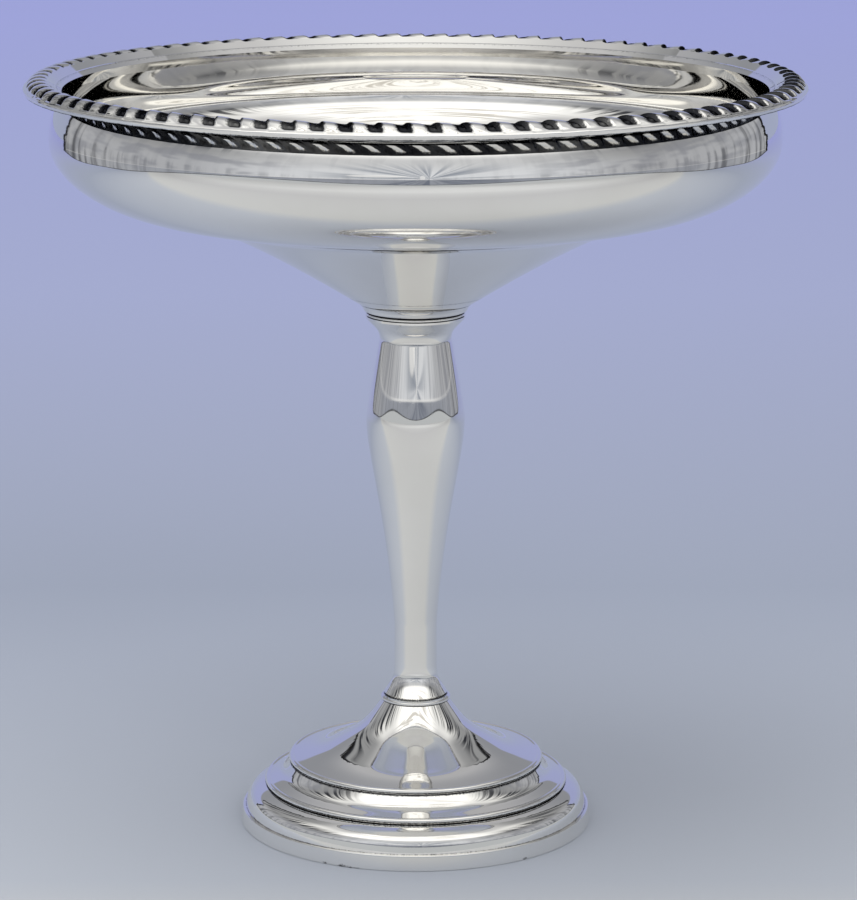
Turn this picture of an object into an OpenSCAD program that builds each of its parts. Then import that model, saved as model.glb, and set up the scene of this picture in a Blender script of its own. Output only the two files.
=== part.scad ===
// A footed compote bowl of polished sheet metal: a wide spun bowl with a gadroon border,
// carried by a hollow baluster stem on a stepped and weighted round foot.
// Every piece is round about the upright axis, and the border repeats its lobe around it.

/* [Foot] */

// Width across the bottom edge of the foot
foot_w = 76.6; // [76:0.1:77.4]
// Height of the plain band round the bottom edge
band_h = 2.95; // [2.6:0.05:3.2]
// How far the plain band leans inwards over its height
band_lean = 0.35; // [0.2:0.05:0.5]
// Width of the opening inside the band
band_bore_w = 73.2; // [71:0.1:73.4]
// Radius of the rounded lip above the band
lip_round = 0.3; // [0.2:0.05:0.4]
// Height of the lip's centre above the band
lip_rise = 0.1; // [0.05:0.05:0.2]
// Width of the flat ledge between the lip and the swelling roll above it
ledge_w = 0.45; // [0.3:0.05:0.6]
// Width across the lower step
low_step_w = 66; // [65.6:0.1:66.4]
// Height of the middle of the lower step's edge
low_step_z = 9.1; // [9:0.05:9.3]
// Width across the upper step
top_step_w = 55.5; // [55:0.1:56]
// Height of the middle of the upper step's edge
top_step_z = 13.95; // [13.8:0.05:14.1]
// Radius of the rounded edge of each step
step_round = 0.72; // [0.66:0.01:0.76]
// Radius where the foot's flat shoulder turns up into the cone
cone_low_r = 19.2; // [18.8:0.1:19.6]
// Height of that turn
cone_low_z = 16.7; // [16.5:0.05:16.9]
// Width of the cone's top, under the bead ring
foot_top_w = 14.7; // [14.5:0.1:15]
// Height of the cone's top
foot_top_z = 26.9; // [26.4:0.1:27.2]
// Thickness of the foot's sheet
foot_sheet = 0.7; // [0.5:0.05:0.8]
// Thickness of the felt disc under the foot
felt_t = 1.2; // [0.8:0.1:2]

/* [Stem] */

// Width of the bead ring at the widest
ring_w = 15.3; // [15:0.1:15.6]
// Width of the ring's plain base
ring_base_w = 14.2; // [13.8:0.1:14.4]
// Height of the whole bead ring
ring_h = 1.2; // [1.15:0.05:1.4]
// Height of the ring's base before it swells
ring_base_h = 0.2; // [0.1:0.05:0.25]
// Radius of the bead on the ring
bead_round = 0.42; // [0.35:0.01:0.5]
// Width of the bell at the stem's bottom, where it meets the bead ring
bell_seat_w = 13.2; // [13:0.1:13.4]
// Width of the bell at its widest
bell_w = 13.8; // [13.6:0.1:14]
// Rise from the bell's seat to its widest
bell_rise = 0.5; // [0.3:0.05:0.7]
// Width of the slender part of the stem
waist_w = 9.24; // [8.8:0.02:9.8]
// Height where the slender part begins
waist_low_z = 35; // [34:0.1:37]
// Height where the slender part ends and the baluster begins
waist_top_z = 44; // [42:0.1:46]
// Width of the baluster at its widest
baluster_w = 21.2; // [20:0.1:22]
// Height of the baluster's widest place
baluster_z = 89.3; // [87:0.1:91]
// Width of the neck above the baluster
neck_w = 15.44; // [15:0.02:16.4]
// Height of the neck's narrowest place
neck_z = 107; // [106:0.1:107.5]
// Width of the ring on top of the stem
stem_top_w = 21.4; // [21:0.1:22]
// Height of the stem's top face
stem_top_z = 112; // [111.5:0.1:112.5]
// Height of the edge band on the stem's top ring
stem_edge_h = 0.45; // [0.3:0.05:0.6]
// Thickness of the stem's sheet
stem_sheet = 0.75; // [0.5:0.05:0.9]
// Width of the steel rod inside
rod_w = 4; // [3:0.1:5]
// Height of the rod's lower end inside the foot
rod_z = 8; // [4:0.1:12]

/* [Collar] */

// Width of the grooves above and below the collar's bead
groove_w = 20.4; // [20:0.1:20.8]
// Height of each groove
groove_h = 0.15; // [0.1:0.05:0.25]
// Width of the bead between the grooves
collar_bead_w = 21.4; // [21.2:0.1:21.6]
// Radius of that bead
collar_bead_round = 0.25; // [0.2:0.05:0.3]
// Rise of the collar's lower edge above the upper groove
collar_edge_h = 0.3; // [0.2:0.05:0.4]
// Width of the collar's lower edge
collar_edge_w = 22; // [21.6:0.1:22.2]
// Width of the collar half way up
collar_mid_w = 22.8; // [22.6:0.1:23.2]
// Rise of the collar's middle above its lower edge
collar_mid_h = 0.7; // [0.6:0.05:0.8]
// Width of the collar under the bowl
seat_w = 24.4; // [23.8:0.1:25]
// Height of the collar's top, where the bowl sits
seat_z = 114.7; // [114.4:0.1:115.2]

/* [Bowl] */

// Thickness of the bowl's sheet
sheet = 0.8; // [0.6:0.05:0.9]
// Radius where the cone under the bowl bends into its shelf
shelf_in_r = 44; // [42:0.1:46]
// Height of that bend
shelf_in_z = 132.3; // [131:0.1:133]
// Radius where the shelf turns up into the side
shelf_out_r = 60; // [58:0.1:62]
// Height of that turn
shelf_out_z = 135.9; // [135:0.1:136.5]
// Radius of the side at its fullest
side_r = 77.3; // [76:0.1:78]
// Height of the side's fullest place
side_z = 150.3; // [149:0.1:152]
// Radius of the narrow throat outside, under the border
throat_r = 75.05; // [74.5:0.05:75.4]
// Height of the throat
throat_z = 159.3; // [158.8:0.1:159.6]
// Radius where the border is joined on
edge_r = 77.3; // [77:0.05:77.8]
// Height of the joint's underside
edge_low_z = 161.6; // [161.4:0.05:161.8]
// Height of the joint's upper edge
edge_top_z = 163; // [162.9:0.05:163.2]
// Inner radius of the plain band beside the border
plain_in_r = 75.9; // [75.7:0.05:76]
// Drop across the plain band
plain_drop = 1.2; // [1:0.05:1.3]
// Inner radius of the narrow step below the plain band
line_in_r = 75.5; // [75.3:0.05:75.6]
// Drop across the narrow step
line_drop = 0.1; // [0.05:0.05:0.2]
// Inner radius of the lip of the throat
mouth_r = 74.4; // [74.2:0.05:74.6]
// Height of the lip of the throat inside
mouth_z = 160.8; // [160.5:0.05:161.1]

/* [Gadroon border] */

// Number of slanted lobes round the border
lobes = 90; // [60:1:90]
// Width of the border from the joint to its plain outer lip
border_w = 5.2; // [4.6:0.05:6]
// Height of the lobes above the joint's upper edge
crest_rise = 0.6; // [0.5:0.05:0.8]
// Depth of the gaps between the lobes
relief = 0.75; // [0.4:0.05:0.8]
// How far the lobes run sideways between the joint and the lip
slant_run = 2.6; // [1:0.1:4]
// Drop from the joint's upper edge to the hollow between the lobes and the lip
fillet_drop = 1; // [0.8:0.05:1.1]
// Drop from the joint's upper edge to the outermost line of the lip
lip_drop = 1.65; // [1.5:0.05:1.8]
// Drop from the joint's upper edge to the underside of the lip
lip_low_drop = 2.5; // [2.3:0.05:2.6]
// Thickness of the stamped border
border_t = 0.95; // [0.8:0.05:1]

/* [Hidden] */

$fn = 180;
// Width of the stem's seating faces, as a share of its sheet's thickness
seat_ring_share = 1.4;
// Depth of the bead's middle below the ring's top, as a share of the bead's radius
bead_top_share = 1.6;
// How near an inset outline may come to its own run, as a share of its thickness
inset_clear_share = 0.97;
// Half the widest step between the samples of a lobe, as a share of its pitch
half_step_share = 0.13;

foot_r = foot_w / 2;
band_top_r = foot_r - band_lean;
bore_r = band_bore_w / 2;
lip_x = band_top_r - lip_round;
lip_z = band_h + lip_rise;
lip_top_z = lip_z + lip_round;
ring_r = ring_w / 2;
waist_r = waist_w / 2;
baluster_r = baluster_w / 2;
neck_r = neck_w / 2;
bell_r = bell_w / 2;
bell_seat_r = bell_seat_w / 2;
foot_top_r = foot_top_w / 2;
foot_mouth_r = foot_top_r - foot_sheet;
stem_top_r = stem_top_w / 2;
stem_mouth_r = stem_top_r - stem_sheet * seat_ring_share;
ring_top_z = foot_top_z + ring_h;
bell_mouth_r = bell_seat_r - stem_sheet * seat_ring_share;
rod_r = rod_w / 2;
seat_r = seat_w / 2;
border_r = edge_r + border_w;
pitch_angle = 360 / lobes;
slant_angle = slant_run / border_r * 180 / PI;

// Directions in degrees at the start and end of each curve
low_band_angles = [99, 164];
mid_band_angles = [159.6, 121.4];
shoulder_angles = [170, 151.3];
cone_angles = [151.3, 126];
bell_angles = [125, 90];
baluster_low_angles = [86, 90];
baluster_top_angles = [90, 100.4];
neck_angles = [90, 48];
under_angles = [31.9, 23.6];
shelf_angles = [23.6, 12];
side_angles = [12, 90];
throat_angles = [90, 119];
flare_angles = [119, 16];
ring_bead_angles = [-40, 90];
lip_angles = [0, 90];
step_angles = [-60, 125];
collar_bead_angles = [-80, 80];

// Reach of each curve's straight start and end, as shares of its span
low_band_shares = [0.42, 0.58];
mid_band_shares = [0.5, 0.6];
shoulder_shares = [0.4, 0.35];
cone_shares = [0.48, 0.49];
bell_shares = [0.46, 0.42];
baluster_low_shares = [0.54, 0.18];
baluster_top_shares = [0.1, 0.6];
neck_shares = [0.35, 0.53];
under_shares = [0.32, 0.33];
shelf_shares = [0.27, 0.37];
side_shares = [0.377, 0.305];
throat_shares = [0.34, 0.34];
flare_shares = [0.22, 0.5];

// A point at a distance from a centre, in a direction in degrees
function toward(p, d, a) = p + d * [cos(a), sin(a)];

// A round stretch of an outline
function arc(c, r, angles, steps) =
    [for (i = [0:steps]) toward(c, r, angles[0] + (angles[1] - angles[0]) * i / steps)];

// One point of a curve between two ends with two guiding points, t from 0 to 1
function curve_point(p, t) =
    pow(1 - t, 3) * p[0] + 3 * pow(1 - t, 2) * t * p[1]
    + 3 * (1 - t) * t * t * p[2] + pow(t, 3) * p[3];

// A smooth stretch of an outline that leaves and arrives in given directions
function bend(a, b, angles, shares, steps) =
    let (span = norm(b - a),
         p = toward(a, shares[0] * span, angles[0]),
         q = toward(b, -shares[1] * span, angles[1]))
    [for (i = [0:steps]) curve_point([a, p, q, b], i / steps)];

// The same run of points moved sideways by a thickness, to its left. In a bend that is
// tighter than the thickness, the points that would come too near the run are left out.
function inset(pts, t) =
    let (last = len(pts) - 1)
    [for (i = [0:last])
        let (d = pts[min(i + 1, last)] - pts[max(i - 1, 0)], n = norm(d),
             moved = pts[i] + t * [-d[1] / n, d[0] / n],
             nearest = min([for (p = pts) norm(moved - p)]))
        if (nearest > t * inset_clear_share) moved];

function backwards(pts) = [for (i = [len(pts) - 1:-1:0]) pts[i]];
function without_last(pts) = [for (i = [0:len(pts) - 2]) pts[i]];
function last_of(pts) = pts[len(pts) - 1];

// Stretches of the foot's outside, from the bottom up
low_step_at = [low_step_w / 2 - step_round, low_step_z];
top_step_at = [top_step_w / 2 - step_round, top_step_z];
low_step = arc(low_step_at, step_round, step_angles, 11);
top_step = arc(top_step_at, step_round, step_angles, 11);
low_band = bend([lip_x - ledge_w, lip_top_z], low_step[0], low_band_angles, low_band_shares, 12);
mid_band = bend(last_of(low_step), top_step[0], mid_band_angles, mid_band_shares, 6);
cone_low = [cone_low_r, cone_low_z];
foot_cone = concat(without_last(bend(last_of(top_step), cone_low, shoulder_angles, shoulder_shares, 7)),
                   bend(cone_low, [foot_top_r, foot_top_z], cone_angles, cone_shares, 12));
foot_out = concat(arc([lip_x, lip_z], lip_round, lip_angles, 4), without_last(low_band),
                  without_last(low_step), without_last(mid_band),
                  without_last(top_step), foot_cone);
foot_in = concat([[bore_r, band_h]], inset(low_band, foot_sheet), inset(mid_band, foot_sheet),
                 inset(foot_cone, foot_sheet), [[foot_mouth_r, foot_top_z]]);

// Stretches of the stem's outside, from the bottom up
stem_side = concat(bend([bell_r, ring_top_z + bell_rise], [waist_r, waist_low_z],
                        bell_angles, bell_shares, 9),
                   without_last(bend([waist_r, waist_top_z], [baluster_r, baluster_z],
                                     baluster_low_angles, baluster_low_shares, 16)),
                   without_last(bend([baluster_r, baluster_z], [neck_r, neck_z],
                                     baluster_top_angles, baluster_top_shares, 12)),
                   bend([neck_r, neck_z], [stem_top_r, stem_top_z - stem_edge_h],
                        neck_angles, neck_shares, 8));
stem_out = concat([[bell_seat_r, ring_top_z]], stem_side, [[stem_top_r, stem_top_z]]);
stem_in = concat([[bell_mouth_r, ring_top_z]], inset(stem_side, stem_sheet),
                 [[stem_mouth_r, stem_top_z]]);

// Stretches of the bowl's outside, from the collar up
bowl_side = concat(without_last(bend([seat_r, seat_z], [shelf_in_r, shelf_in_z],
                                     under_angles, under_shares, 8)),
                   without_last(bend([shelf_in_r, shelf_in_z], [shelf_out_r, shelf_out_z],
                                     shelf_angles, shelf_shares, 6)),
                   without_last(bend([shelf_out_r, shelf_out_z], [side_r, side_z],
                                     side_angles, side_shares, 14)),
                   bend([side_r, side_z], [throat_r, throat_z],
                        throat_angles, throat_shares, 10));
bowl_flare = bend([throat_r, throat_z], [edge_r, edge_low_z], flare_angles, flare_shares, 7);
plain_in_z = edge_top_z - plain_drop;
bowl_brim = [[edge_r, edge_top_z], [plain_in_r, plain_in_z],
             [line_in_r, plain_in_z - line_drop], [mouth_r, mouth_z]];

// Upper face of the border at the lobes' tops: shares of the width outwards, and of
// the crest's rise (above the joint's upper edge) or of the fillet's drop (below it)
face_out_shares = [0, 0.08, 0.26, 0.47, 0.67, 0.82, 0.9];
face_rise_shares = [0, 0.6, 1, 0.95, 0.4, -0.4, -1];
// How much of the relief each of those points takes, and the way it sinks
face_relief_shares = [0, 0.8, 1, 1, 1, 0.9, 0];
face_angles = [90, 110, 95, 85, 68, 50, 60];
// How far the lip's underside is set in, as a share of the border's thickness
lip_low_share = 0.6;

// Where the samples of one lobe stand within its pitch, and how high they are at the
// joint, where the lobes nearly touch, and at their outer ends, where the gaps are wide
lobe_at_shares = [0, 0.12, 0.35, 0.6, 0.8];
inner_high_shares = [0, 0.95, 1, 0.95, 0.65];
outer_high_shares = [0, 1, 0.9, 0.25, 0];

function rise(s) = s > 0 ? s * crest_rise : s * fillet_drop;
function high(i, k) =
    let (out = face_out_shares[i])
    inner_high_shares[k] * (1 - out) + outer_high_shares[k] * out;
function sink(i, k) = relief * face_relief_shares[i] * (1 - high(i, k));
function face_point(i, k) =
    toward([edge_r + border_w * face_out_shares[i], edge_top_z + rise(face_rise_shares[i])],
           -sink(i, k), face_angles[i]);
function under_point(i, k) = toward(face_point(i, k), -border_t, face_angles[i]);

// The border's cross-section at one sample of a lobe
function border_section(k) =
    concat([for (i = [0:6]) face_point(i, k)],
           [[border_r, edge_top_z - lip_drop],
            [border_r - border_t * lip_low_share, edge_top_z - lip_low_drop]],
           [under_point(4, k), under_point(2, k)],
           [[edge_r, edge_low_z]]);

module turned(pts) {
    rotate_extrude() polygon(pts);
}

module foot_band() {
    color("silver") turned([[bore_r, 0], [foot_r, 0], [band_top_r, band_h], [bore_r, band_h]]);
}

module foot_shell() {
    color("silver") turned(concat([[band_top_r, band_h]], foot_out, backwards(foot_in)));
}

module foot_filler() {
    color("gray") turned(concat([[0, felt_t], [bore_r, felt_t]], foot_in,
                                [[rod_r, foot_top_z], [rod_r, rod_z], [0, rod_z]]));
}

module base_felt() {
    color("darkgreen") cylinder(r = bore_r, h = felt_t);
}

module stem_ring() {
    base_r = ring_base_w / 2;
    bead_z = ring_top_z - bead_round * bead_top_share;
    color("silver") turned(concat([[rod_r, foot_top_z], [base_r, foot_top_z],
                                   [base_r, foot_top_z + ring_base_h]],
                                  arc([ring_r - bead_round, bead_z], bead_round, ring_bead_angles, 6),
                                  [[bell_seat_r, ring_top_z], [rod_r, ring_top_z]]));
}

module stem_shell() {
    color("silver") turned(concat(stem_out, backwards(stem_in)));
}

module stem_filler() {
    color("gray") turned(concat([[rod_r, ring_top_z]], stem_in, [[rod_r, stem_top_z]]));
}

module stem_rod() {
    color("dimgray") translate([0, 0, rod_z]) cylinder(r = rod_r, h = seat_z - rod_z);
}

module bowl_collar() {
    groove_r = groove_w / 2;
    bead_low_z = stem_top_z + groove_h;
    bead_at = [collar_bead_w / 2 - collar_bead_round, bead_low_z + collar_bead_round];
    groove_top_z = bead_at[1] + collar_bead_round + groove_h;
    edge_z = groove_top_z + collar_edge_h;
    color("silver") turned(concat([[rod_r, stem_top_z], [groove_r, stem_top_z], [groove_r, bead_low_z]],
                                  arc(bead_at, collar_bead_round, collar_bead_angles, 6),
                                  [[groove_r, groove_top_z - groove_h], [groove_r, groove_top_z],
                                   [collar_edge_w / 2, edge_z],
                                   [collar_mid_w / 2, edge_z + collar_mid_h],
                                   [seat_r, seat_z], [rod_r, seat_z]]));
}

module bowl_shell() {
    color("silver") turned(concat([[0, seat_z]], without_last(bowl_side), bowl_flare, bowl_brim,
                                  backwards(inset(bowl_side, sheet)), [[0, seat_z + sheet]]));
}

// The stamped border: one cross-section after another round the rim, each ring of
// points turned a little more than the one inside it, which slants the lobes
module gadroon_border() {
    per_lobe = len(lobe_at_shares);
    around = lobes * per_lobe;
    snug = 1 / cos(pitch_angle * half_step_share);
    points = [for (n = [0:around - 1])
        let (k = n % per_lobe, turn = (floor(n / per_lobe) + lobe_at_shares[k]) * pitch_angle)
        for (p = border_section(k))
            let (a = turn + slant_angle * (p[0] - edge_r) / border_w,
                 r = p[0] == edge_r ? edge_r * snug : p[0])
            [r * cos(a), r * sin(a), p[1]]];
    count = len(border_section(0));
    faces = [for (n = [0:around - 1], m = [0:count - 1], half = [0, 1])
        let (here = n * count, next = (n + 1) % around * count, up = (m + 1) % count)
        half == 0 ? [here + m, here + up, next + m] : [here + up, next + up, next + m]];
    color("silver") polyhedron(points, faces);
}

foot_band();
foot_shell();
foot_filler();
base_felt();
stem_ring();
stem_shell();
stem_filler();
stem_rod();
bowl_collar();
bowl_shell();
gadroon_border();
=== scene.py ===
"""Looks of the footed compote bowl: polished silver pieces turned from smooth profiles, a fine
gadroon border, a pale table that rises into a sweep, and a cloth tent that the silver mirrors.
Profiles are in millimetres and objects in metres. +Z is up and -Y is toward the camera."""

import math

import bpy
import numpy as np
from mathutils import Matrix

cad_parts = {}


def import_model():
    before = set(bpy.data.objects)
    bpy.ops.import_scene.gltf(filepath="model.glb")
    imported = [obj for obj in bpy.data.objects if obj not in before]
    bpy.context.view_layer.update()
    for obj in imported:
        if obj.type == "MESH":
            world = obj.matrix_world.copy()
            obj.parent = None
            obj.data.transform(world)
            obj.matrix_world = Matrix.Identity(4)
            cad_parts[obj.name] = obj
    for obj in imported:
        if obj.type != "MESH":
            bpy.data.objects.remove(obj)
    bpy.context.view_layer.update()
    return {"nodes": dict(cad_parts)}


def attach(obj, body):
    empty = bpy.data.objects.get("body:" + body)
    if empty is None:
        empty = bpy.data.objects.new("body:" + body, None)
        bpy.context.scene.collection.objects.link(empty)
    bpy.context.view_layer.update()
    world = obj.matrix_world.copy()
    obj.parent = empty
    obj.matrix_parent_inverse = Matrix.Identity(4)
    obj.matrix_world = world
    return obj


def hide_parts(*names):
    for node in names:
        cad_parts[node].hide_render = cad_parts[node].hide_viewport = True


MM = 0.001
TURNS = 512          # steps round a turned piece
CREASE = 24          # degrees between two stretches of a profile that make a sharp edge
DOUBLED = 1e-3       # points of a profile nearer than this, in millimetres, are one point
ON_AXIS = 1e-6       # a point with a smaller radius lies on the axis
DEGREE = math.pi / 180

# Sizes in millimetres, as in the part's source. A pair is a radius and a height.
SHEET = 0.8
FOOT_SHEET = 0.7
STEM_SHEET = 0.75
SEAT_RING_SHARE = 1.4    # width of the stem's seating faces, as a share of its sheet
SEAT_RING = SEAT_RING_SHARE * STEM_SHEET
ROD_R = 2

FOOT_R = 38.3
BAND_H = 2.95
BAND_LEAN = 0.35
BAND_TOP_R = FOOT_R - BAND_LEAN
BORE_R = 36.6
BEVEL_IN = 0.12
BEVEL_H = 0.15
LIP_ROUND = 0.3
LIP_RISE = 0.1
LEDGE_W = 0.45
LIP = (BAND_TOP_R - LIP_ROUND, BAND_H + LIP_RISE)
ROLL_LOW = (LIP[0] - LEDGE_W, LIP[1] + LIP_ROUND)
STEP_ROUND = 0.72
LOW_STEP_R = 33
LOW_STEP = (LOW_STEP_R - STEP_ROUND, 9.1)
TOP_STEP_R = 27.75
TOP_STEP = (TOP_STEP_R - STEP_ROUND, 13.95)
CONE_LOW = (19.2, 16.7)
FOOT_TOP = (7.35, 26.9)

RING_R = 7.65
RING_BASE_R = 7.1
RING_BASE_H = 0.2
RING_H = 1.2
RING_TOP_Z = FOOT_TOP[1] + RING_H
RING_BEAD_ROUND = 0.42
BEAD_TOP_SHARE = 1.6     # depth of the bead's middle under the ring's top, in bead radii
RING_BEAD = (RING_R - RING_BEAD_ROUND, RING_TOP_Z - BEAD_TOP_SHARE * RING_BEAD_ROUND)

BELL_SEAT_R = 6.6
BELL_RISE = 0.5
BELL = (6.9, RING_TOP_Z + BELL_RISE)
WAIST_LOW = (4.62, 35)
WAIST_TOP = (4.62, 44)
BALUSTER = (10.6, 89.3)
NECK = (7.72, 107)
STEM_TOP = (10.7, 112)
STEM_EDGE_H = 0.45

GROOVE_R = 10.2
GROOVE_H = 0.15
COLLAR_BEAD_R = 10.7
COLLAR_BEAD_ROUND = 0.25
COLLAR_BEAD = (COLLAR_BEAD_R - COLLAR_BEAD_ROUND, STEM_TOP[1] + GROOVE_H + COLLAR_BEAD_ROUND)
GROOVE_TOP_Z = COLLAR_BEAD[1] + COLLAR_BEAD_ROUND + GROOVE_H
COLLAR_EDGE_H = 0.3
COLLAR_EDGE = (11, GROOVE_TOP_Z + COLLAR_EDGE_H)
COLLAR_MID_H = 0.7
COLLAR_MID = (11.4, COLLAR_EDGE[1] + COLLAR_MID_H)
SEAT = (12.2, 114.7)

SHELF_IN = (44, 132.3)
SHELF_OUT = (60, 135.9)
FULLEST = (77.3, 150.3)
THROAT = (75.05, 159.3)
EDGE_R = 77.3
EDGE_LOW_Z = 161.6
EDGE_TOP_Z = 163
PLAIN_DROP = 1.2
PLAIN_IN = (75.9, EDGE_TOP_Z - PLAIN_DROP)
LINE_DROP = 0.1
LINE_IN = (75.5, PLAIN_IN[1] - LINE_DROP)
MOUTH = (74.4, 160.8)

# The radius and the crest's rise are 0.01 mm less than the source's, because finer steps
# reach closer to them
BORDER_R = 82.49
BORDER_W = BORDER_R - EDGE_R
BORDER_T = 0.95
LOBES = 90
RELIEF = 0.75
CREST_RISE = 0.59
FILLET_DROP = 1.0
SLANT_RUN = 2.6
LIP_DROP = 1.65
LIP_LOW_DROP = 2.5
LIP_LOW_SHARE = 0.6

# Forms of the round stretches: directions of both ends from the middle in degrees, and steps
LIP_ARC = (0, 90, 10)
STEP_ARC = (-60, 125, 24)
RING_BEAD_ARC = (-40, 90, 16)
COLLAR_BEAD_ARC = (-80, 80, 12)

# Forms of the curves: directions at both ends in degrees, the reach of the straight start
# and end as shares of the span, and steps
ROLL_CURVE = ((99, 164), (0.42, 0.58), 50)
STEP_CURVE = ((159.6, 121.4), (0.5, 0.6), 30)
SHOULDER_CURVE = ((170, 151.3), (0.4, 0.35), 30)
CONE_CURVE = ((151.3, 126), (0.48, 0.49), 50)
BELL_CURVE = ((125, 90), (0.46, 0.42), 30)
BALUSTER_LOW_CURVE = ((86, 90), (0.54, 0.18), 90)
BALUSTER_TOP_CURVE = ((90, 100.4), (0.1, 0.6), 50)
NECK_CURVE = ((90, 48), (0.35, 0.53), 30)
COLLAR_LOW_CURVE = ((40, 62), (0.3, 0.3), 8)
COLLAR_TOP_CURVE = ((62, 40), (0.3, 0.3), 8)
UNDER_CURVE = ((31.9, 23.6), (0.32, 0.33), 60)
SHELF_CURVE = ((23.6, 12), (0.27, 0.37), 40)
SIDE_CURVE = ((12, 90), (0.377, 0.305), 80)
THROAT_CURVE = ((90, 119), (0.34, 0.34), 50)
FLARE_CURVE = ((119, 16), (0.22, 0.5), 30)
BAND_STEPS = 12          # steps up the side of the foot's band


# Profiles

def toward(p, d, a):
    """The point, or points, at a distance from p in a direction in degrees."""
    a = np.radians(a)
    return np.stack([p[0] + d * np.cos(a), p[1] + d * np.sin(a)], -1)


def arc(c, r, form):
    start, end, steps = form
    return toward(c, r, np.linspace(start, end, steps + 1))


def bend(a, b, form):
    """A smooth stretch from a to b, in one of the forms above."""
    (leave, arrive), shares, steps = form
    a = np.array(a, float)
    b = np.array(b, float)
    span = np.linalg.norm(b - a)
    p = toward(a, shares[0] * span, leave)
    q = toward(b, -shares[1] * span, arrive)
    t = np.linspace(0, 1, steps + 1)[:, None]
    return (1 - t)**3 * a + 3 * (1 - t)**2 * t * p + 3 * (1 - t) * t * t * q + t**3 * b


def inset(pts, t):
    """The same run of points moved sideways by a thickness, to its left."""
    d = np.empty_like(pts)
    d[1:-1] = pts[2:] - pts[:-2]
    d[0] = pts[1] - pts[0]
    d[-1] = pts[-1] - pts[-2]
    d /= np.linalg.norm(d, axis=1)[:, None]
    return pts + t * np.stack([-d[:, 1], d[:, 0]], 1)


def chain(*runs):
    """The runs of points one after another, with doubled points left out."""
    pts = np.concatenate([np.atleast_2d(np.array(run, float)) for run in runs])
    keep = [0]
    for i in range(1, len(pts)):
        if np.linalg.norm(pts[i] - pts[keep[-1]]) > DOUBLED:
            keep.append(i)
    return pts[keep]


def band_profile():
    side = np.linspace((FOOT_R, BEVEL_H), (BAND_TOP_R, BAND_H), BAND_STEPS + 1)
    return chain((BORE_R, 0), (FOOT_R - BEVEL_IN, 0), side, (BORE_R, BAND_H))


def foot_profile():
    low_step = arc(LOW_STEP, STEP_ROUND, STEP_ARC)
    top_step = arc(TOP_STEP, STEP_ROUND, STEP_ARC)
    roll = bend(ROLL_LOW, low_step[0], ROLL_CURVE)
    between = bend(low_step[-1], top_step[0], STEP_CURVE)
    cone = chain(bend(top_step[-1], CONE_LOW, SHOULDER_CURVE),
                 bend(CONE_LOW, FOOT_TOP, CONE_CURVE))
    outside = chain((BAND_TOP_R, BAND_H), arc(LIP, LIP_ROUND, LIP_ARC), roll, low_step,
                    between, top_step, cone)
    inside = chain((BORE_R, BAND_H), inset(roll, FOOT_SHEET), inset(between, FOOT_SHEET),
                   inset(cone, FOOT_SHEET), (FOOT_TOP[0] - FOOT_SHEET, FOOT_TOP[1]))
    return chain(outside, inside[::-1])


def ring_profile():
    return chain((ROD_R, FOOT_TOP[1]), (RING_BASE_R, FOOT_TOP[1]),
                 (RING_BASE_R, FOOT_TOP[1] + RING_BASE_H),
                 arc(RING_BEAD, RING_BEAD_ROUND, RING_BEAD_ARC),
                 (BELL_SEAT_R, RING_TOP_Z), (ROD_R, RING_TOP_Z))


def stem_profile():
    side = chain(bend(BELL, WAIST_LOW, BELL_CURVE),
                 bend(WAIST_TOP, BALUSTER, BALUSTER_LOW_CURVE),
                 bend(BALUSTER, NECK, BALUSTER_TOP_CURVE),
                 bend(NECK, (STEM_TOP[0], STEM_TOP[1] - STEM_EDGE_H), NECK_CURVE))
    outside = chain((BELL_SEAT_R, RING_TOP_Z), side, STEM_TOP)
    inside = chain((BELL_SEAT_R - SEAT_RING, RING_TOP_Z), inset(side, STEM_SHEET),
                   (STEM_TOP[0] - SEAT_RING, STEM_TOP[1]))
    return chain(outside, inside[::-1])


def collar_profile():
    return chain((ROD_R, STEM_TOP[1]), (GROOVE_R, STEM_TOP[1]), (GROOVE_R, STEM_TOP[1] + GROOVE_H),
                 arc(COLLAR_BEAD, COLLAR_BEAD_ROUND, COLLAR_BEAD_ARC),
                 (GROOVE_R, GROOVE_TOP_Z - GROOVE_H), (GROOVE_R, GROOVE_TOP_Z),
                 bend(COLLAR_EDGE, COLLAR_MID, COLLAR_LOW_CURVE),
                 bend(COLLAR_MID, SEAT, COLLAR_TOP_CURVE), (ROD_R, SEAT[1]))


def bowl_profile():
    side = chain(bend(SEAT, SHELF_IN, UNDER_CURVE),
                 bend(SHELF_IN, SHELF_OUT, SHELF_CURVE),
                 bend(SHELF_OUT, FULLEST, SIDE_CURVE),
                 bend(FULLEST, THROAT, THROAT_CURVE))
    flare = bend(THROAT, (EDGE_R, EDGE_LOW_Z), FLARE_CURVE)
    brim = [(EDGE_R, EDGE_TOP_Z), PLAIN_IN, LINE_IN, MOUTH]
    return chain((0, SEAT[1]), side, flare, brim, inset(side, SHEET)[::-1], (0, SEAT[1] + SHEET))


# Tarnish and painted shade: dark marks that paint the shade and dark reflections in
# creases, grooves and joints, with some tarnish in the hollows. A mark is a radius and a
# height, how far it reaches, and how dark it is.

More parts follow.
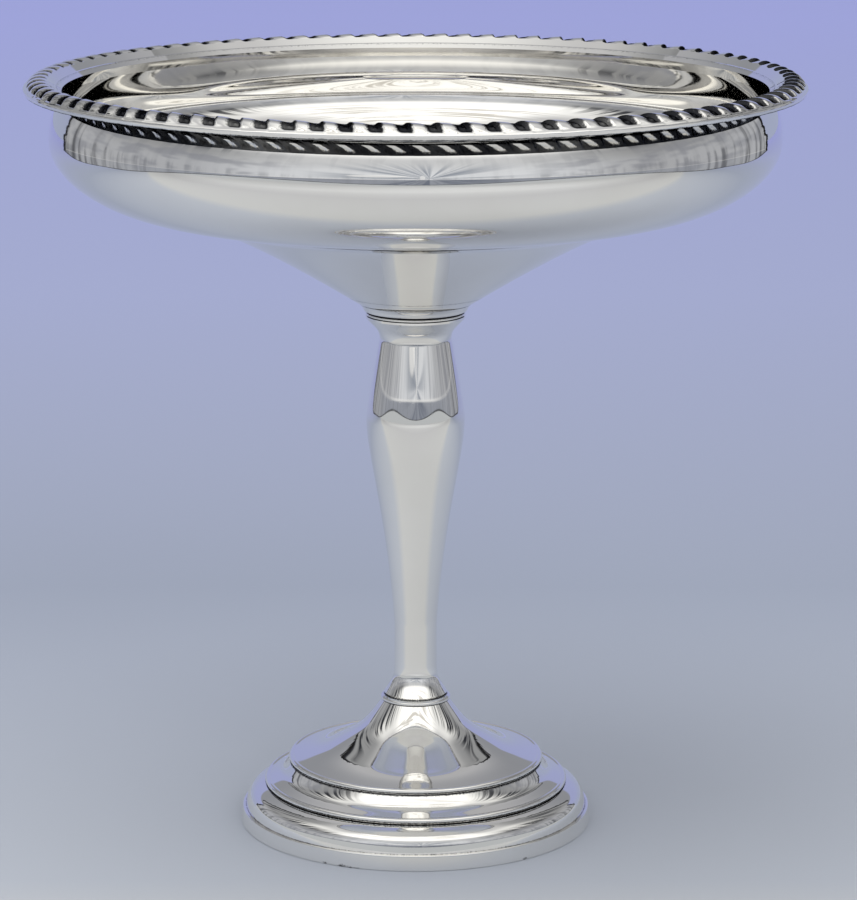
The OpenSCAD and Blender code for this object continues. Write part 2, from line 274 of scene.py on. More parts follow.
PAINTED_BEAD_REFLECTION = -14.6    # the direction of the painted dark reflection line on the face of each step's bead
FULL_WITHIN = 1.3    # a mark is full until a share of 0.3 of its reach, and gone past 1.3
SEEN_FROM = -0.15    # how far behind the metal's face a mark's middle may lie
# Painted shade in the undercut under the bead ring and where the stem sits on it
RING_PAINTED_SHADE = ((RING_BASE_R, FOOT_TOP[1] + RING_BASE_H / 2, 0.35, 1.0),
               (BELL_SEAT_R, RING_TOP_Z, 0.3, 0.9))
# Painted shade, with some tarnish, in the collar's grooves and at the seat, and in the bowl's
# creases near the seat, its fine line inside the brim and its joint with the border
COLLAR_SHADE_AND_TARNISH = ((GROOVE_R, STEM_TOP[1], 0.25, 1.0),
                 (GROOVE_R, GROOVE_TOP_Z - GROOVE_H / 3, 0.3, 1.0),
                 (*SEAT, 0.2, 0.6))
BOWL_SHADE_AND_TARNISH = ((76, 160.9, 1.7, 1.0),
               (*SEAT, 0.3, 0.8),
               (15.2, 116.6, 0.3, 0.5),
               (75.6, LINE_IN[1], 0.15, 0.6))

# Nicks in the foot's edge: degrees round from +X, height and width in millimetres
NICKS = ((-120, 0.3, 0.7),
         (-114, 0.2, 1.0),
         (-111.5, 0.1, 0.8),
         (-109, 0.1, 0.6),
         (-52.5, 0.35, 0.7))
NICK_STRETCH = (1, 1, 2.6)   # a nick is flatter than it is wide by the last of these
NICK_EDGE = 1.4              # how many of its widths away a nick ends
NICK_DARK = 0.62


def foot_painted_shade():
    """Marks of painted shade in the crease where the roll leaves the ledge and under the bead of
    each step, and a painted dark reflection line on the face of each bead.
    """
    marks = [(*ROLL_LOW, 0.25, 0.5)]
    for step in (LOW_STEP, TOP_STEP):
        marks.append((*toward(step, STEP_ROUND, STEP_ARC[0]), 0.4, 1.0))
        marks.append((*toward(step, STEP_ROUND, PAINTED_BEAD_REFLECTION), 0.22, 0.8))
    return marks


def painted_shade_and_tarnish(profile, marks):
    """How dark the metal is at each point of a profile, from the marks of painted shade and
    tarnish.
    """
    dark = np.zeros(len(profile))
    run = np.gradient(profile, axis=0)
    run /= np.linalg.norm(run, axis=1)[:, None]
    for r, z, reach, share in marks:
        gap = (r, z) - profile
        seen = run[:, 1] * gap[:, 0] - run[:, 0] * gap[:, 1] > SEEN_FROM
        near = np.clip(FULL_WITHIN - np.linalg.norm(gap, axis=1) / reach, 0, 1)
        dark = np.maximum(dark, share * near * seen)
    return dark


def nicked(obj, radius, nicks):
    """Small dark nicks along an edge."""
    count = len(obj.data.vertices)
    at = np.empty(count * 3)
    obj.data.vertices.foreach_get("co", at)
    at = at.reshape(-1, 3) / MM
    dark = np.zeros(count)
    for turn, z, wide in nicks:
        middle = (radius * math.cos(turn * DEGREE), radius * math.sin(turn * DEGREE), z)
        gap = np.linalg.norm((at - middle) * NICK_STRETCH, axis=1) / wide
        dark = np.maximum(dark, np.clip(NICK_EDGE - gap, 0, NICK_DARK))
    obj.data.attributes["tarnish_wear_and_painted_shade"].data.foreach_set("value", dark)


# Meshes

def mesh_object(name, points, faces, sharp, tarnish_wear_and_painted_shade):
    """A smooth mesh. Sharp tells from the ends of all edges which of them are creases."""
    mesh = bpy.data.meshes.new(name)
    mesh.from_pydata(points.tolist(), [], faces)
    mesh.shade_smooth()
    ends = np.empty(len(mesh.edges) * 2, np.int32)
    mesh.edges.foreach_get("vertices", ends)
    flags = mesh.attributes.new("sharp_edge", "BOOLEAN", "EDGE")
    flags.data.foreach_set("value", sharp(ends.reshape(-1, 2)))
    # Dark marks: tarnish, nicks, and painted shade and dark reflections in creases and joints
    dark = mesh.attributes.new("tarnish_wear_and_painted_shade", "FLOAT", "POINT")
    dark.data.foreach_set("value", tarnish_wear_and_painted_shade)
    mesh.update()
    obj = bpy.data.objects.new(name, mesh)
    bpy.context.scene.collection.objects.link(obj)
    return obj


def corners(pts):
    """Which points of a closed profile are corners."""
    before = pts - np.roll(pts, 1, 0)
    after = np.roll(pts, -1, 0) - pts
    turn = np.arctan2(before[:, 0] * after[:, 1] - before[:, 1] * after[:, 0],
                      (before * after).sum(1))
    return np.abs(np.degrees(turn)) > CREASE


def faces_between(start, axis, after, after_axis):
    """The faces from one ring of points to the next. A ring on the axis is one point."""
    if axis and after_axis:
        return []
    faces = []
    for i in range(TURNS):
        j = (i + 1) % TURNS
        if axis:
            faces.append((start, after + j, after + i))
        elif after_axis:
            faces.append((start + i, start + j, after))
        else:
            faces.append((start + i, start + j, after + j, after + i))
    return faces


def turned(name, profile, marks=()):
    """A closed mesh of revolution about Z. A profile may start and end on the axis."""
    on_axis = profile[:, 0] < ON_AXIS
    angles = np.arange(TURNS) * 2 * math.pi / TURNS
    points = []
    starts = []
    for (r, z), axis in zip(profile * MM, on_axis):
        starts.append(len(points))
        if axis:
            points.append((0, 0, z))
        else:
            points.extend(zip(r * np.cos(angles), r * np.sin(angles), [z] * TURNS))
    faces = []
    for k, start in enumerate(starts):
        after = (k + 1) % len(starts)
        faces += faces_between(start, on_axis[k], starts[after], on_axis[after])
    ring_of = np.repeat(np.arange(len(profile)), np.where(on_axis, 1, TURNS))
    corner = corners(profile)

    def sharp(ends):
        rings = ring_of[ends]
        return (rings[:, 0] == rings[:, 1]) & corner[rings[:, 0]]

    return mesh_object(name, np.array(points), faces, sharp, painted_shade_and_tarnish(profile, marks)[ring_of])


# Gadroon border

# Guiding points of the upper face at the lobes' tops: shares of the width outwards, of the
# crest's rise or the fillet's drop, and of the relief, and the direction that the face looks
OUT_SHARES = np.array([0, 0.08, 0.26, 0.47, 0.67, 0.82, 0.9])
RISE_SHARES = np.array([0, 0.6, 1, 0.95, 0.4, -0.4, -1])
RELIEF_SHARES = np.array([0, 0.8, 1, 1, 1, 0.9, 0])
FACE_ANGLES = np.array([90, 110, 95, 85, 68, 50, 60])
UNDER_FROM = (4, 2)      # guiding points of the upper face that the underside follows
SECTION_POINTS = 12      # seven of the upper face, two of the lip, three underneath
STEPS_PER_SPAN = 4
STEPS_PER_LOBE = 24

# Shares of a lobe's pitch
CREST_AT = 0.12
INNER_WIDE = 0.95
OUTER_WIDE = 0.64
ROUND_BACK = 1.8         # power of the round back of a lobe

# The small bead between two lobes' outer ends: share of the pitch, place along the
# section, height and reach in millimetres, how much of its height it goes outwards, and
# the pitch there in millimetres
BEAD_AT = 0.84
BEAD_ALONG = 4.2
BEAD_RISE = 0.22
BEAD_REACH = 0.3
BEAD_OUT = 0.5
BEAD_PITCH = 5.6

# How dark the border is: painted shade, with some tarnish, in the gaps and the groove, and
# painted shade underneath. Places along the section run from 0 at the joint over the lobes
# to 7 at the lip, and back to 11 underneath. Other places and widths are in pitches.
STRIPE_EDGE = 1.7        # a stripe is full to 0.7 of its half width, and gone past 1.7
GAP_GAIN = 2             # how fast a gap darkens with its depth
GAP_START = 0.1          # how dark a gap would have to be before it shows
BEAD_CLEAN = 3           # how much of the dark each millimetre of the bead keeps off
GROOVE_AT = 0.99
GROOVE_HALF = 0.14
GROOVE_PLACES = (0.1, 0.5, 3.5, 4.5)
GROOVE_SHARES = (0, 0.95, 0.95, 0)
ROPE_AT = 0.3
ROPE_HALF = 0.15
ROPE_TWIST = 0.22        # how much of a pitch the bright rope leans at each place
ROPE_FROM = 10
ROPE_BRIGHT = 0.82
ROPE_PLACES = (8.4, 8.7, 9.9, 10.2)
ROPE_SHARES = (0, 1, 1, 0.1)
UNDER_PLACES = (7.4, 7.8)


def spline(ys, x):
    """A smooth curve through rows of values that stand at 0, 1, 2 and on, evaluated at x."""
    slopes = np.gradient(ys, axis=0)
    i = np.clip(x.astype(int), 0, len(ys) - 2)
    t = (x - i)[:, None]
    return ((2 * t**3 - 3 * t**2 + 1) * ys[i] + (t**3 - 2 * t**2 + t) * slopes[i]
            + (3 * t**2 - 2 * t**3) * ys[i + 1] + (t**3 - t**2) * slopes[i + 1])


def border_points(inner, outer):
    """The section's guiding points where a lobe stands high by these shares at its ends."""
    high = inner * (1 - OUT_SHARES) + outer * OUT_SHARES
    rise = np.where(RISE_SHARES > 0, CREST_RISE, FILLET_DROP) * RISE_SHARES
    crest = np.stack([EDGE_R + BORDER_W * OUT_SHARES, EDGE_TOP_Z + rise], 1)
    look = toward((0, 0), 1, FACE_ANGLES)
    face = crest - RELIEF * (RELIEF_SHARES * (1 - high))[:, None] * look
    lip = [(BORDER_R, EDGE_TOP_Z - LIP_DROP),
           (BORDER_R - BORDER_T * LIP_LOW_SHARE, EDGE_TOP_Z - LIP_LOW_DROP)]
    under = [face[i] - BORDER_T * look[i] for i in UNDER_FROM]
    return np.concatenate([face, lip, under, [(EDGE_R, EDGE_LOW_Z)]])


def lobe_height(u, wide):
    """Height share across one pitch: a steep left side, a round back, and a flat gap."""
    up = math.sin(min(u / CREST_AT, 1) * math.pi / 2)
    fall = min(max(u - CREST_AT, 0) / (wide - CREST_AT), 1)
    return up * math.sqrt(max(1 - fall**ROUND_BACK, 0))


def stripe(u, middle, half):
    """1 along a stripe that comes back at each pitch, and 0 away from it."""
    away = np.abs((u - middle + 0.5) % 1 - 0.5)
    return np.clip(STRIPE_EDGE - away / half, 0, 1)


def border_shade_and_tarnish(u, at, high, bead):
    """How dark a section is: painted shade, with some tarnish, in the gaps and along the groove
    between two lobes, and painted shade underneath, where a row of leaning strokes is left out
    of it and stays bright like a rope."""
    relief = np.interp(at, range(len(RELIEF_SHARES)), RELIEF_SHARES, right=0)
    gap = np.clip(relief * (1 - high) * GAP_GAIN - GAP_START - BEAD_CLEAN * bead, 0, 1)
    groove = stripe(u, GROOVE_AT, GROOVE_HALF) * np.interp(at, GROOVE_PLACES, GROOVE_SHARES)
    rope = stripe(u - ROPE_TWIST * (ROPE_FROM - at), ROPE_AT, ROPE_HALF)
    rope = np.minimum(rope, ROPE_BRIGHT) * np.interp(at, ROPE_PLACES, ROPE_SHARES)
    below = np.interp(at, UNDER_PLACES, (0, 1)) * (1 - rope)
    return np.maximum(np.maximum(gap, groove), below)


def border_section(turn, u, at):
    """One section of the border at an angle, with its tarnish and painted shade. u is its share of
    the pitch.
    """
    inner = lobe_height(u, INNER_WIDE)
    outer = lobe_height(u, OUTER_WIDE)
    high = inner + (outer - inner) * np.interp(at, range(len(OUT_SHARES)), OUT_SHARES)
    across = (u - BEAD_AT) * BEAD_PITCH / BEAD_REACH
    along = (at - BEAD_ALONG) / BEAD_REACH
    bead = BEAD_RISE * np.exp(-across**2 - along**2)
    r, z = spline(border_points(inner, outer), at).T
    r = np.clip(r, EDGE_R, BORDER_R) + BEAD_OUT * bead
    z = z + bead
    a = turn + SLANT_RUN / BORDER_R * (r - EDGE_R) / BORDER_W
    points = np.stack([r * np.cos(a), r * np.sin(a), z], 1) * MM
    return points, border_shade_and_tarnish(u, at, high, bead)


def gadroon_border(name):
    """A closed ring of sections, so close together that each lobe is round."""
    spans = SECTION_POINTS - 1
    at = np.linspace(0, spans, spans * STEPS_PER_SPAN + 1)
    count = len(at)
    total = LOBES * STEPS_PER_LOBE
    sections = [border_section(n * 2 * math.pi / total, n % STEPS_PER_LOBE / STEPS_PER_LOBE, at)
                for n in range(total)]
    points = np.concatenate([section[0] for section in sections])
    tarnish_wear_and_painted_shade = np.concatenate([section[1] for section in sections])
    n, m = np.meshgrid(np.arange(total), np.arange(count), indexing="ij")
    here = n * count
    there = (n + 1) % total * count
    up = (m + 1) % count
    faces = np.stack([here + up, there + up, there + m, here + m], -1).reshape(-1, 4)

    def sharp(ends):
        places = ends % count
        at_joint = (places[:, 0] == 0) | (places[:, 0] == count - 1)
        return (places[:, 0] == places[:, 1]) & at_joint

    return mesh_object(name, points, faces.tolist(), sharp, tarnish_wear_and_painted_shade)


# Node helpers

class Web:
    """Adds and links nodes in the tree of a material or a world."""

    def __init__(self, owner):
        owner.use_nodes = True
        self.tree = owner.node_tree
        self.tree.nodes.clear()

    def node(self, kind, **settings):
        made = self.tree.nodes.new("ShaderNode" + kind)
        for key, value in settings.items():
            setattr(made, key, value)
        return made

    def put(self, value, socket):
        if isinstance(value, bpy.types.NodeSocket):
            self.tree.links.new(value, socket)
        else:
            socket.default_value = value

    def fill(self, made, *values):
        """Puts values into a node's first sockets, and gives its first output."""
        for value, socket in zip(values, made.inputs):
            self.put(value, socket)
        return made.outputs[0]

    def math(self, operation, *values):
        return self.fill(self.node("Math", operation=operation), *values)

    def plus(self, a, b):
        return self.math("ADD", a, b)

    def minus(self, a, b):
        return self.math("SUBTRACT", a, b)

    def times(self, first, *others):
        for other in others:
            first = self.math("MULTIPLY", first, other)
        return first

    def most(self, first, *others):
        for other in others:
            first = self.math("MAXIMUM", first, other)
        return first

    def ease(self, x, start, end, low=0.0, high=1.0):
        """Goes smoothly from low to high while x goes from start to end."""
        made = self.node("MapRange", interpolation_type="SMOOTHSTEP")
        return self.fill(made, x, start, end, low, high)

    def mix(self, share, a, b):
        made = self.node("Mix", data_type="RGBA")
        self.put(share, made.inputs[0])
        self.put(a, made.inputs[6])
        self.put(b, made.inputs[7])
        return made.outputs[2]

    def noise(self, place, scale=1.0, detail=2.0, rough=0.5, dims="3D"):
        made = self.node("TexNoise", noise_dimensions=dims)
        self.put(place, made.inputs["W" if dims == "1D" else "Vector"])
        self.put(scale, made.inputs["Scale"])
        self.put(detail, made.inputs["Detail"])
        self.put(rough, made.inputs["Roughness"])
        return made.outputs[0]

    def vector(self, x, y, z):
        return self.fill(self.node("CombineXYZ"), x, y, z)

    def place(self, kind="Object"):
        return self.node("TexCoord").outputs[kind]

    def bump(self, height, strength, distance):
        made = self.node("Bump")
        self.put(height, made.inputs["Height"])
        self.put(strength, made.inputs["Strength"])
        self.put(distance, made.inputs["Distance"])
        return made.outputs[0]

    def surface(self, **values):
        """A principled surface, with the names of its sockets written as one word."""
        made = self.node("BsdfPrincipled")
        for name, value in values.items():
            self.put(value, made.inputs[name.replace("_", " ")])
        return made.outputs[0]

    def show(self, shader, kind="OutputMaterial"):
        self.put(shader, self.node(kind).inputs["Surface"])


def rgb(r, g, b):
    return (r, g, b, 1)


def grey(v):
    return rgb(v, v, v)


# Materials

CLEAN_SILVER = rgb(0.93, 0.92, 0.895)
WORN_SILVER = rgb(0.88, 0.865, 0.83)
TARNISH_AND_SHADE = rgb(0.022, 0.023, 0.027)
TARNISH_AND_SHADE_TINT = rgb(0.05, 0.055, 0.07)
TARNISH_AND_SHADE_ROUGH = 0.3
# Stretches of a noise or of the marks of tarnish, wear and painted shade: where a change starts
# and ends, and, where that isn't 0 and 1, what it goes from and to
WORN_SMUDGE = (0.35, 0.75)
HAZY_SMUDGE = (0.4, 0.8, 0.02, 0.06)
HAZY_GRAIN = (0.6, 0.8, 0, 0.05)
SPECK_DEPTH = 0.9
SPECK_TARNISH_AND_SHADE = (0.02, 0.3)
TARNISH_AND_SHADE_STRETCH = (0.25, 0.85)
TARNISH_AND_SHADE_SMUDGE = (0.2, 0.5, 0.8, 1)
MATT_GRAIN = (0.3, 0.7)
CEMENT = (rgb(0.42, 0.40, 0.36), rgb(0.58, 0.56, 0.51))
STEEL = (rgb(0.42, 0.42, 0.42), rgb(0.55, 0.55, 0.54))
FELT = (rgb(0.05, 0.14, 0.08), rgb(0.11, 0.24, 0.15))


def silver(name):
    """Polished silver with faint smudges, and black where the mesh's dark marks are: tarnish,
    nicks, and painted shade and dark reflections in creases, under beads and at joints.
    """
    mat = bpy.data.materials.new(name)
    web = Web(mat)
    place = web.place()
    smudge = web.noise(place, scale=22, detail=4, rough=0.6)
    fine = web.noise(place, scale=900, detail=2, rough=0.6)
    clean = web.mix(web.ease(smudge, *WORN_SMUDGE), CLEAN_SILVER, WORN_SILVER)
    haze = web.plus(web.ease(smudge, *HAZY_SMUDGE), web.ease(fine, *HAZY_GRAIN))
    # The mesh's dark marks: tarnish, nicks, and painted shade and dark reflections
    tarnish_wear_and_painted_shade = web.node("Attribute", attribute_name="tarnish_wear_and_painted_shade").outputs["Fac"]
    speck = web.minus(web.noise(place, scale=3500, detail=1), 0.5)
    speck = web.times(speck, SPECK_DEPTH, web.ease(tarnish_wear_and_painted_shade, *SPECK_TARNISH_AND_SHADE))
    depth = web.ease(web.plus(tarnish_wear_and_painted_shade, speck), *TARNISH_AND_SHADE_STRETCH)
    depth = web.times(depth, web.ease(smudge, *TARNISH_AND_SHADE_SMUDGE))
    dents = web.noise(place, scale=55, detail=1)
    web.show(web.surface(
        Metallic=1.0,
        Base_Color=web.mix(depth, clean, TARNISH_AND_SHADE),
        Specular_Tint=web.mix(depth, grey(1), TARNISH_AND_SHADE_TINT),
        Roughness=web.plus(haze, web.times(depth, TARNISH_AND_SHADE_ROUGH)),
        Normal=web.bump(dents, strength=0.06, distance=0.0002)))
    return mat


def matt(name, colours, scale, rough, metallic=0.0):
    """A plain dull material with a grain of two colours."""
    mat = bpy.data.materials.new(name)
    web = Web(mat)
    grain = web.noise(web.place(), scale, detail=5, rough=0.65)
    web.show(web.surface(
        Metallic=metallic,
        Base_Color=web.mix(web.ease(grain, *MATT_GRAIN), *colours),
        Roughness=rough,
        Normal=web.bump(grain, strength=0.3, distance=0.0003)))
    return mat


# Table and sweep

FLOOR_W = 4.6
FLOOR_DROP = 0.00002     # the floor lies this far under the felt, so the two don't flicker
# The sweep's colour from the camera's side to far behind the part: place along Y, colour.
# The darker stretch around 0.2, behind the part, is partly painted shade.
FLOOR_COLOURS = ((-0.7, rgb(0.60, 0.61, 0.62)),
                 (-0.3, rgb(0.48, 0.485, 0.50)),
                 (-0.08, rgb(0.53, 0.54, 0.545)),
                 (-0.045, rgb(0.44, 0.47, 0.53)),
                 (0.2, rgb(0.315, 0.35, 0.445)),
                 (0.65, rgb(0.35, 0.385, 0.595)),
                 (1.7, rgb(0.375, 0.405, 0.78)))
FAR_COLOUR = rgb(0.39, 0.42, 0.80)


def floor_colour(web):
    """The sweep's colours along Y."""
    split = web.node("SeparateXYZ")
    web.put(web.place(), split.inputs[0])
    low = FLOOR_COLOURS[0][0]
    high = FLOOR_COLOURS[-1][0]
    along = web.fill(web.node("MapRange"), split.outputs[1], low, high)
    ramp = web.node("ValToRGB")
    web.put(along, ramp.inputs[0])
    stops = ramp.color_ramp.elements
    while len(stops) < len(FLOOR_COLOURS):
        stops.new(0.5)
    for stop, (y, colour) in zip(stops, FLOOR_COLOURS):
        stop.position = (y - low) / (high - low)
        stop.color = colour
    return ramp.outputs[0]


def floor():
    bpy.ops.mesh.primitive_plane_add(size=FLOOR_W, location=(0, 0, -FLOOR_DROP))
    plane = bpy.context.object
    plane.name = "floor"
    mat = bpy.data.materials.new("floor")
    web = Web(mat)
    web.show(web.surface(Base_Color=floor_colour(web), Roughness=0.9, Specular_IOR_Level=0.1))
    plane.data.materials.append(mat)


# Tent. Directions from its middle are in degrees: up from the level, side from the front,
# and off, which is how far round from the front on either side. A stretch of up or off, of
# a noise, or of the distance from an edge is where a change starts and ends, and, where
# that isn't 0 and 1, what it goes from and to.

TENT_R = 0.8         # about as far away as the camera
TENT_Z = 0.15        # the height of its middle
TENT_RINGS = 48

# The bare cloth, with broad shades at the sides
AHEAD_OFF = (75, 25)
LOW_CLOTH = (rgb(0.42, 0.43, 0.46), rgb(0.72, 0.74, 0.78))
HIGH_CLOTH = (rgb(0.30, 0.305, 0.315), rgb(0.62, 0.63, 0.65))
HIGH_UP = (7, 22)
LIT_CLOTH = rgb(0.85, 0.85, 0.84)
LIT_UP = (24, 36)
LIT_OFF = (130, 100)
SHADE = rgb(0.22, 0.23, 0.27)
SHADE_NOISE = (0.55, 0.38)
SHADE_OFF = (20, 60, 0, 0.55)
SHADE_UP = (26, 14)

# Soft folds that fan out from the gathers, just under the camera
GATHERS = (4.0, 4.6)     # to the side and up
FAN_SHADE = rgb(0.20, 0.23, 0.29)
FAN_NOISE = (0.58, 0.40)
FAN_OFF = (40, 8)
FAN_UP = (24, 9)
FAN_DARK = 0.8

# Narrow folds that hang all round, drawn as painted shade. They are strong near the table,
# behind, and at the sides from a certain height, and inky at the sides and behind.
TABLE_UP = (7, 3)
BEHIND_OFF = (108, 128)
SIDES_UP = (18, 26)
SIDES_OFF = (45, 75)
FOLD_OFF = (15, 100, 0.4, 1)
FOLD_STRONG = (0, 1, 0.28, 1)
FOLD_TOP_UP = (47, 34)
FOLD_LOW_UP = (12, 24, 0.75, 1)
FOLD_NOISE = 0.55        # where a fold starts, and where it is deepest, low down and higher
FOLD_NOISE_UP = (14, 24, 0.34, 0.44)
INKY_OFF = (30, 60)
INKY_BEHIND_OFF = (85, 115)
CREVICE = rgb(0.20, 0.21, 0.24)
# The darkest painted shade deep in the folds
INKY_SHADE = rgb(0.03, 0.032, 0.04)

# The lamps' light on the cloth overhead and in front
ROOF_UP = (46, 60)
ROOF = rgb(0.58, 0.58, 0.59)
ROOF_TOP = rgb(0.98, 0.98, 0.96)
ROOF_TOP_UP = (60, 84)
LAMP_LIGHT = rgb(1.3, 1.3, 1.28)
CREASE_SHADE = rgb(0.72, 0.69, 0.64)
CREASE_NOISE = (0.50, 0.40)
CREASED_UP = (30, 50)
LAMP_UP = (23, 35)
LAMP_OFF = (80, 45)

# Bright chinks above the gathers: middle and size, both sideways and up
CHINK = ((-11, 6.6), (9, 1.3))
CHINK_EDGE = (1.2, 0.7, 0, 0.7)
SLIT = ((2, 5.2), (0.8, 2.3))
SLIT_EDGE = (1.3, 0.6, 0, 0.6)
CHINK_CLOTH = grey(0.9)

# A seam low down, with darker cloth below it
SEAM_SAG = 4.9
SEAM_UP = -1.6
THREAD = grey(0.9)
THREAD_LOW = (-0.28, -0.1)
THREAD_TOP = (0.22, 0.08)
THREAD_OFF = (75, 40, 0.22, 0.7)
BELOW = rgb(0.30, 0.32, 0.37)
BELOW_FAN = rgb(0.13, 0.15, 0.20)
BELOW_FOLD = 0.9
BELOW_EDGE = (0.25, -0.25)
BELOW_OFF = (105, 60, 0.35, 1)

# The opening behind, trimmed in black, and the scalloped hem
OPEN_AT = 150.5
OPEN_EDGE = (-0.2, 0.2)
OPEN_UP = (64, 40)
EDGE_WAVE = 5.0
EDGE_WAVE_SCALE = 0.35
EDGE_LEAN = 12.0
LEAN_LOW_UP = (-12, -9.5)
LEAN_TOP_UP = (14, 11)
TRIM = grey(0.012)
TRIM_EDGE = (-2.4, -1.4)
TRIM_UP = (48, 36)
HEM_SAG = 5.5
HEM_UP = -5.9
HEM_EDGE = (0.12, -0.12)
HEM_LINE = grey(0.03)
HEM_LINE_EDGE = (0.55, 0.3, 0, 0.85)
HEM_LIFT_OFF = (116, 142, 0, 4.5)
SCALLOP_W = 115
SCALLOP_OFF = (80, 110, 2, 0)


def compass(web, way):
    """The directions up, side and off of a unit vector."""
    split = web.node("SeparateXYZ")
    web.put(way, split.inputs[0])
    x, y, z = split.outputs
    up = web.times(web.math("ARCSINE", z), 1 / DEGREE)
    side = web.times(web.math("ARCTAN2", x, web.times(y, -1.0)), 1 / DEGREE)
    return up, side, web.math("ABSOLUTE", side)


def spot(web, up, side, form):
    """How far a direction is from the middle of an oval patch, 1 at its edge."""
    place, size = form
    across = web.math("DIVIDE", web.minus(side, place[0]), size[0])
    along = web.math("DIVIDE", web.minus(up, place[1]), size[1])
    return web.plus(web.math("POWER", across, 2.0), web.math("POWER", along, 2.0))


def above(web, up, side, sag, level):
    """How far a direction is above a line that stands highest in front and sags behind."""
    line = web.times(web.math("COSINE", web.times(side, DEGREE)), sag)
    return web.minus(web.minus(up, line), level)


def streaks(web, up, side, stretch, seed, detail, rough):
    """Noise over the tent, drawn out by two scales, sideways and up."""
    place = web.vector(web.times(side, stretch[0]), web.times(up, stretch[1]), seed)
    return web.noise(place, detail=detail, rough=rough)


def bare_cloth(web, up, side, off):
    ahead = web.ease(off, *AHEAD_OFF)
    low = web.mix(ahead, *LOW_CLOTH)
    high = web.mix(ahead, *HIGH_CLOTH)
    cloth = web.mix(web.ease(up, *HIGH_UP), low, high)
    lit = web.times(web.ease(up, *LIT_UP), web.ease(off, *LIT_OFF))
    cloth = web.mix(lit, cloth, LIT_CLOTH)
    cloud = streaks(web, up, side, stretch=(0.06, 0.10), seed=7.0, detail=2, rough=0.6)
    shade = web.times(web.ease(cloud, *SHADE_NOISE), web.ease(off, *SHADE_OFF),
                      web.ease(up, *SHADE_UP))
    return web.mix(shade, cloth, SHADE)


def fan_folds(web, up, side, off):
    """How deep the soft folds are that fan out from the gathers."""
    way = web.math("ARCTAN2", web.minus(side, GATHERS[0]), web.minus(GATHERS[1], up))
    fans = web.noise(way, scale=2.6, detail=3, rough=0.6, dims="1D")
    near = web.times(web.ease(off, *FAN_OFF), web.ease(up, *FAN_UP), FAN_DARK)
    return web.times(web.ease(fans, *FAN_NOISE), near)


def hanging_folds(web, up, side, off):
    """How deep the painted shade of the narrow folds is, and its colour."""
    sides = web.times(web.ease(up, *SIDES_UP), web.ease(off, *SIDES_OFF))
    strong = web.most(web.ease(up, *TABLE_UP), web.ease(off, *BEHIND_OFF), sides)
    depth = web.times(web.ease(off, *FOLD_OFF), web.ease(strong, *FOLD_STRONG),
                      web.ease(up, *FOLD_TOP_UP), web.ease(up, *FOLD_LOW_UP))
    hang = streaks(web, up, side, stretch=(0.28, 0.02), seed=0.0, detail=3, rough=0.5)
    dark = web.times(web.ease(hang, FOLD_NOISE, web.ease(up, *FOLD_NOISE_UP)), depth)
    inky = web.times(web.ease(up, *SIDES_UP), web.ease(off, *INKY_OFF))
    inky = web.most(inky, web.ease(off, *INKY_BEHIND_OFF))
    return dark, web.mix(inky, CREVICE, INKY_SHADE)


def lamp_lit(web, cloth, up, side, off):
    roof = web.mix(web.ease(up, *ROOF_TOP_UP), ROOF, ROOF_TOP)
    cloth = web.mix(web.ease(up, *ROOF_UP), cloth, roof)
    crease = streaks(web, up, side, stretch=(0.012, 0.30), seed=3.0, detail=3, rough=0.6)
    creased = web.mix(web.ease(crease, *CREASE_NOISE), LAMP_LIGHT, CREASE_SHADE)
    light = web.mix(web.ease(up, *CREASED_UP), LAMP_LIGHT, creased)
    return web.mix(web.times(web.ease(up, *LAMP_UP), web.ease(off, *LAMP_OFF)), cloth, light)


def gathered_cloth(web, up, side, off):
    """White cloth drawn together in front, just under the camera, and hanging in folds."""
    fan = fan_folds(web, up, side, off)
    dark, crevice = hanging_folds(web, up, side, off)
    cloth = web.mix(fan, bare_cloth(web, up, side, off), FAN_SHADE)
    cloth = web.mix(dark, cloth, crevice)
    cloth = lamp_lit(web, cloth, up, side, off)
    chink = web.ease(spot(web, up, side, CHINK), *CHINK_EDGE)
    slit = web.ease(spot(web, up, side, SLIT), *SLIT_EDGE)
    cloth = web.mix(web.most(chink, slit), cloth, CHINK_CLOTH)
    seam = above(web, up, side, SEAM_SAG, SEAM_UP)
    below = web.mix(web.times(dark, BELOW_FOLD), BELOW, crevice)
    below = web.mix(fan, below, BELOW_FAN)
    share = web.times(web.ease(seam, *BELOW_EDGE), web.ease(off, *BELOW_OFF))
    cloth = web.mix(share, cloth, below)
    thread = web.times(web.ease(seam, *THREAD_LOW), web.ease(seam, *THREAD_TOP),
                       web.ease(off, *THREAD_OFF))
    return web.mix(thread, cloth, THREAD)


def opening_edge(web, up, off):
    """Degrees past the wavy edge of the opening behind."""
    wave = web.noise(up, EDGE_WAVE_SCALE, detail=2, rough=0.6, dims="1D")
    lean = web.times(web.ease(up, *LEAN_LOW_UP), web.ease(up, *LEAN_TOP_UP), EDGE_LEAN)
    lean = web.plus(lean, web.times(wave, EDGE_WAVE))
    return web.minus(web.plus(off, lean), OPEN_AT)


def hem_height(web, up, side, off):
    """Degrees above the hem, which is scalloped in front and lifts toward the opening."""
    swing = web.math("COSINE", web.times(side, 2 * math.pi / SCALLOP_W))
    scallop = web.times(swing, web.ease(off, *SCALLOP_OFF))
    hem = web.plus(above(web, up, side, HEM_SAG, HEM_UP), scallop)
    return web.minus(hem, web.ease(off, *HEM_LIFT_OFF))


